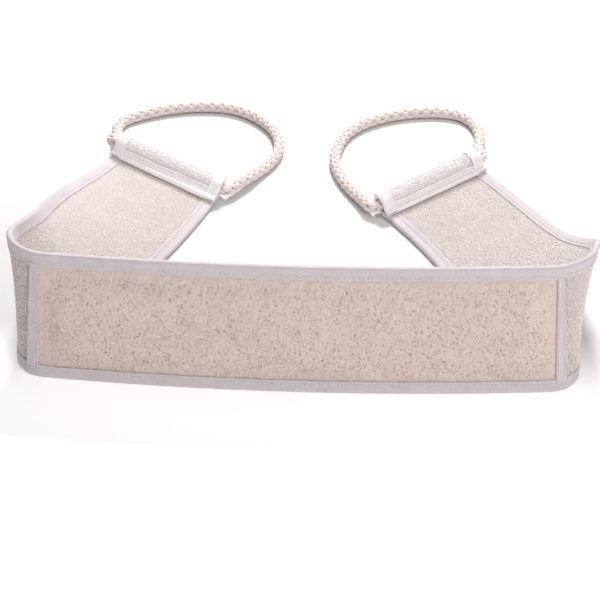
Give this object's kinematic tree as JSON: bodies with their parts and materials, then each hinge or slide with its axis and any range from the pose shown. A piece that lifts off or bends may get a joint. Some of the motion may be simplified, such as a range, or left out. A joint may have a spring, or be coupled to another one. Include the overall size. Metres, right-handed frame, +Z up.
{
  "type": "loofah back scrubber",
  "caption": "Long cloth strap with a loofah panel along its front and a rope loop in the hem at each end, for scrubbing the back.",
  "frame": {"origin": "middle of the whole object's box in plan, on the surface that it stands on", "axes": "+Z up, -Y the way the loofah faces, +X towards the strap's right end as the loofah is looked at"},
  "size_m": [0.3988, 0.423, 0.09],
  "materials": {
    "loofah": "pressed natural fibre net, matt",
    "terry": "undyed cotton terry with diagonal ribs, matt",
    "tape": "fine ribbed woven cotton tape, matt",
    "thread": "spun sewing thread",
    "rope": "braided cotton rope, matt"
  },
  "bodies": {
    "front": {"terry_backing_centre": "terry", "loofah_panel": "loofah", "top_binding_centre": "tape", "top_stitching_centre": "thread", "bottom_binding_centre": "tape", "bottom_stitching_centre": "thread", "left_cross_tape": "tape", "left_cross_stitching_inner": "thread", "left_cross_stitching_outer": "thread", "right_cross_tape": "tape", "right_cross_stitching_inner": "thread", "right_cross_stitching_outer": "thread"},
    "left_tail": {"terry_backing_left": "terry", "top_binding_left": "tape", "top_stitching_left": "thread", "bottom_binding_left": "tape", "bottom_stitching_left": "thread", "left_hem_tape": "tape", "left_hem_stitching_lower": "thread", "left_hem_stitching_upper": "thread"},
    "right_tail": {"terry_backing_right": "terry", "top_binding_right": "tape", "top_stitching_right": "thread", "bottom_binding_right": "tape", "bottom_stitching_right": "thread", "right_hem_tape": "tape", "right_hem_stitching_lower": "thread", "right_hem_stitching_upper": "thread"},
    "left_handle": {"left_rope_handle": "rope", "left_rope_whipping": "thread"},
    "right_handle": {"right_rope_handle": "rope", "right_rope_whipping": "thread"}
  },
  "joints": [
    {"name": "left_fold", "type": "hinge", "parent": "front", "child": "left_tail", "pos_m": [-0.19543, -0.18052, 0.04528], "axis": [0, 0, 1], "range_deg": [0, 110]},
    {"name": "right_fold", "type": "hinge", "parent": "front", "child": "right_tail", "pos_m": [0.18669, -0.18438, 0.04533], "axis": [0, 0, -1], "range_deg": [0, 115]},
    {"name": "left_swing", "type": "hinge", "parent": "left_tail", "child": "left_handle", "pos_m": [-0.11655, 0.06567, 0.02223], "axis": [0.9258, -0.2394, -0.2924], "range_deg": [0, 140]},
    {"name": "right_swing", "type": "hinge", "parent": "right_tail", "child": "right_handle", "pos_m": [0.08569, 0.05714, 0.01827], "axis": [0.84, 0.5047, 0.1994], "range_deg": [0, 140]}
  ]
}
